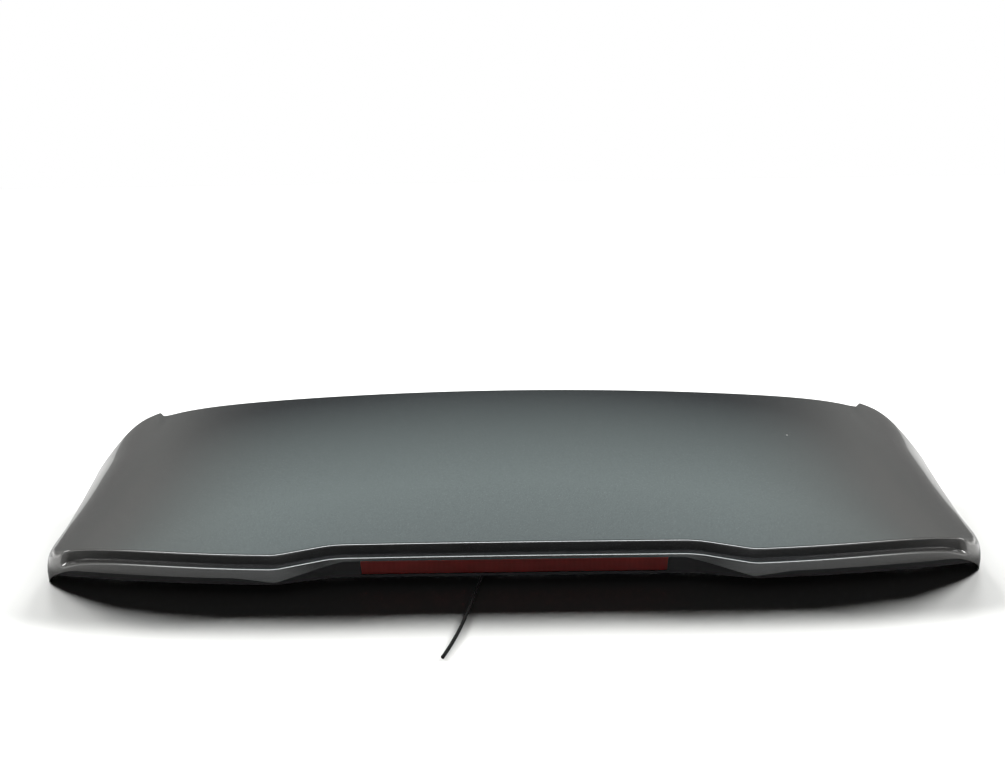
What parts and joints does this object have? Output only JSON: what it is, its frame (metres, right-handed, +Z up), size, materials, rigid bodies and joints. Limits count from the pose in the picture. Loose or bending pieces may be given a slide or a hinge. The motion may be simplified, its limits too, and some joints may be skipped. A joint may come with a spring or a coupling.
{
  "type": "car rear spoiler",
  "caption": "Tailgate roof spoiler for a car: arched painted shell with a stepped rear lip, black lower cover, slim red high-level stop lamp with a thin lead, and mounting studs below.",
  "frame": {"origin": "on the floor below the middle of the spoiler's box, the lead left out", "axes": "X across the car, +Y towards the car's front, +Z up"},
  "size_m": [1.255, 0.4557, 0.1409],
  "materials": {
    "paint": "dark grey metallic paint under clear coat",
    "cover_plastic": "black moulded plastic with a fine grain",
    "lens_red": "clear dark red, polished",
    "lamp_black": "plain black",
    "reflector_bright": "bright vapour coating",
    "circuit_board": "green solder mask",
    "led_body": "pale moulded bodies",
    "zinc_steel": "zinc-plated steel",
    "foam": "closed-cell foam",
    "seal_rubber": "matt black rubber",
    "lead_sheath": "black sheath"
  },
  "bodies": {
    "root": {"upper_shell": "paint", "lower_cover": "cover_plastic", "brake_lamp_lens": "lens_red", "brake_lamp_housing": "lamp_black", "brake_lamp_reflector": "reflector_bright", "brake_lamp_board": "circuit_board", "brake_lamp_leds": "led_body", "brake_lamp_screws": "zinc_steel", "cover_screws": "zinc_steel", "inner_studs": "zinc_steel", "outer_studs": "zinc_steel", "stud_seals": "foam", "foam_pads": "foam", "leading_edge_seal": "seal_rubber", "lead_grommet": "seal_rubber", "lamp_lead": "lead_sheath"}
  },
  "joints": []
}
